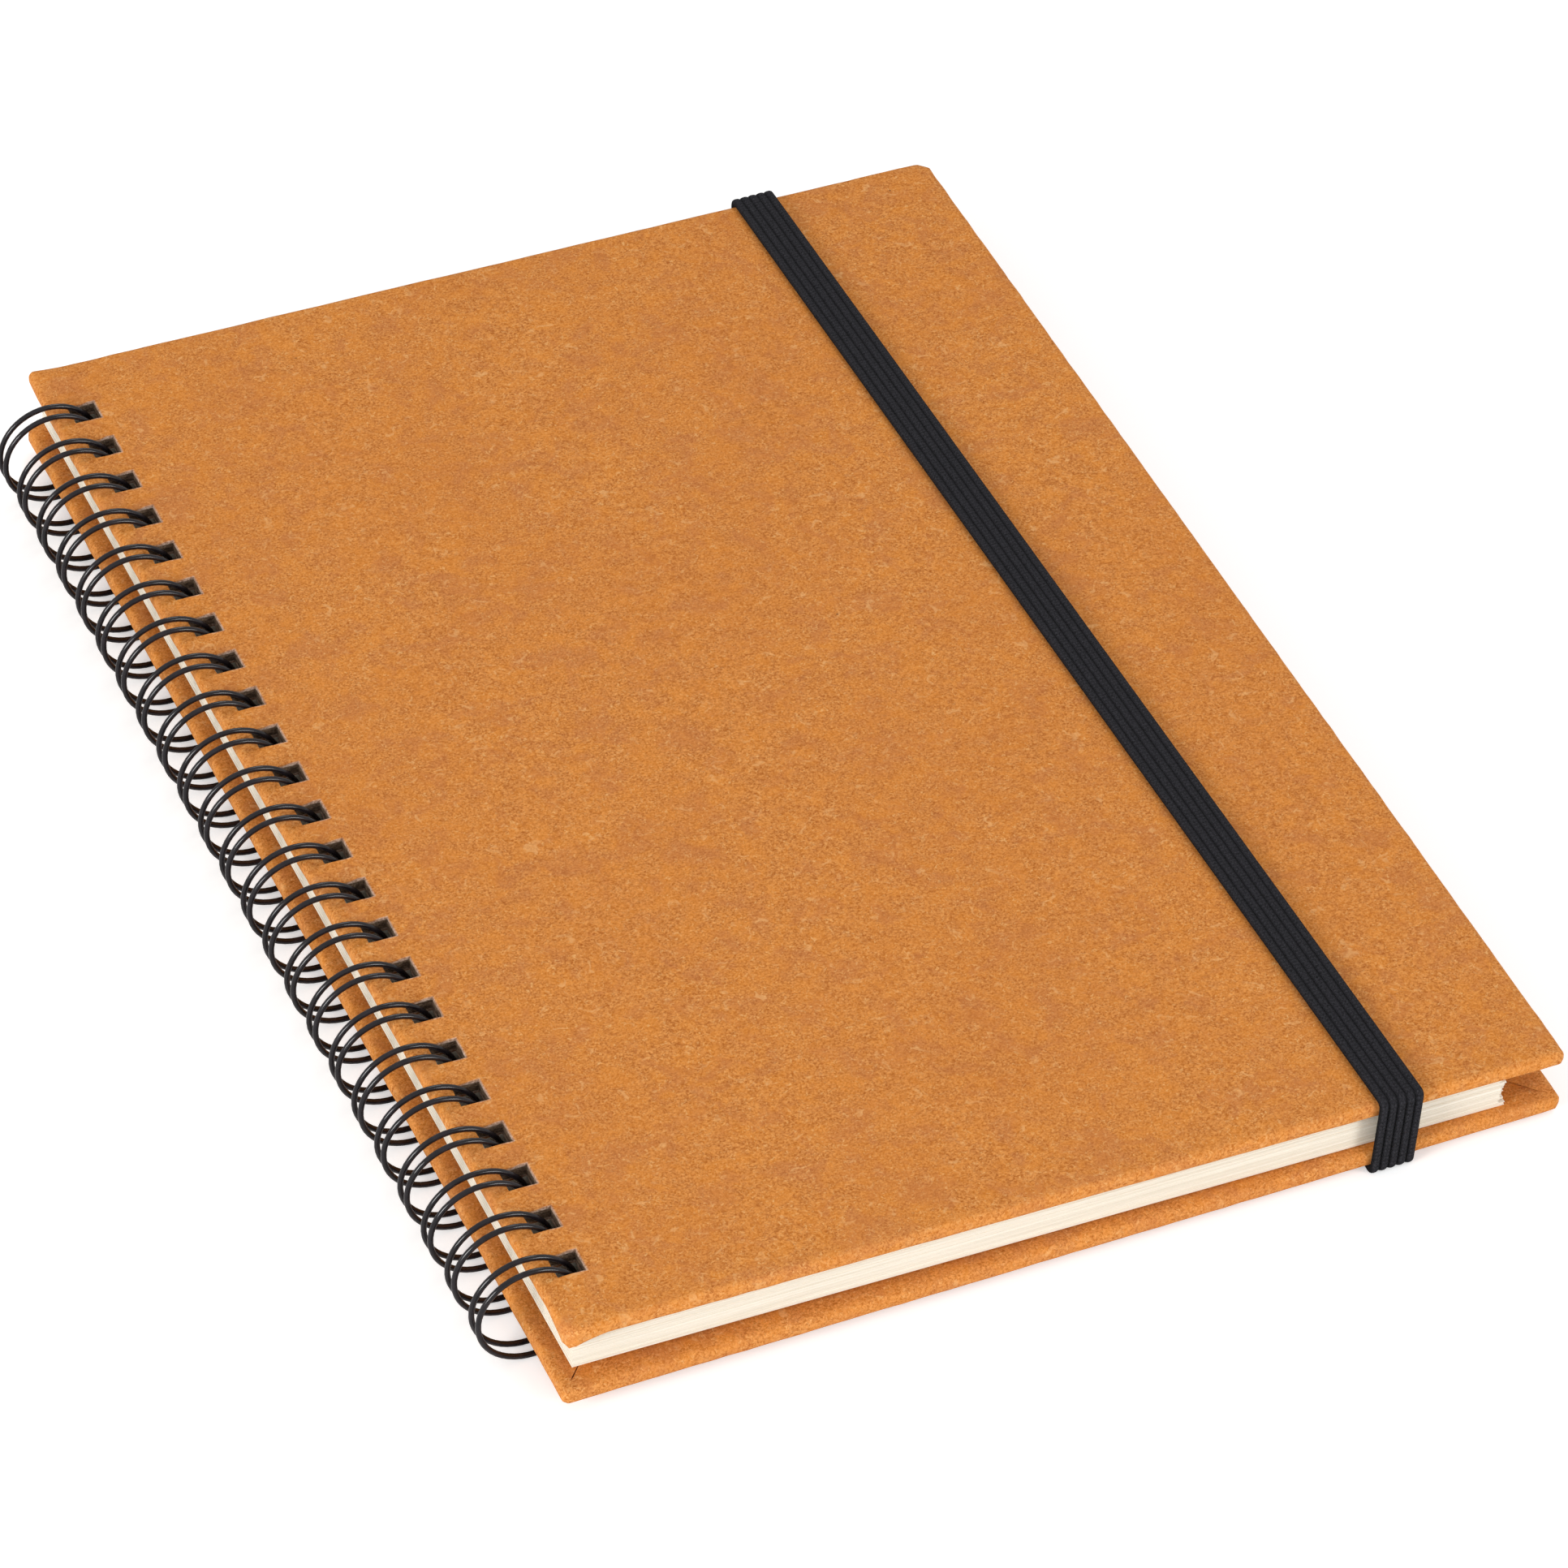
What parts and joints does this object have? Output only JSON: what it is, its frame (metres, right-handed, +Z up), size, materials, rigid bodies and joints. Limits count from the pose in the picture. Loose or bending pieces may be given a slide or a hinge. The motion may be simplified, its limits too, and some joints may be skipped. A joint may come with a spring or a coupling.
{
  "type": "spiral notebook",
  "caption": "Hardcover notebook with leather-wrapped board covers, a twin-loop wire binding, cream pages and a black elastic closure band.",
  "frame": {"origin": "under the middle of the closed notebook, level with the lowest point of the wire rings", "axes": "+X from the binding to the fore edge, +Y along the binding from the near end to the far end, +Z up out of the front cover"},
  "size_m": [0.1487, 0.2124, 0.0153],
  "materials": {
    "leather": "matt bonded leather with a flecked, slightly napped surface",
    "greyboard": "raw grey board, seen only in the punched holes",
    "liner_card": "smooth cream lining card",
    "pages": "uncoated cream paper",
    "black_wire": "steel wire with a black satin coating",
    "elastic": "black ribbed knitted elastic"
  },
  "bodies": {
    "back_cover": {"back_cover_board": "greyboard", "back_cover_leather": "leather", "back_cover_liner": "liner_card", "twin_loop_wire": "black_wire", "elastic_band": "elastic"},
    "pages": {"page_block": "pages"},
    "front_cover": {"front_cover_board": "greyboard", "front_cover_leather": "leather", "front_cover_liner": "liner_card"}
  },
  "joints": [
    {"name": "pages_turn", "type": "hinge", "parent": "back_cover", "child": "pages", "pos_m": [-0.06663, 0, 0.00764], "axis": [0, -1, 0], "range_deg": [0, 180], "deforming": ["elastic_band"]},
    {"name": "front_cover_turn", "type": "hinge", "parent": "pages", "child": "front_cover", "pos_m": [-0.06663, 0, 0.00764], "axis": [0, -1, 0], "range_deg": [0, 180], "deforming": ["elastic_band"]}
  ]
}
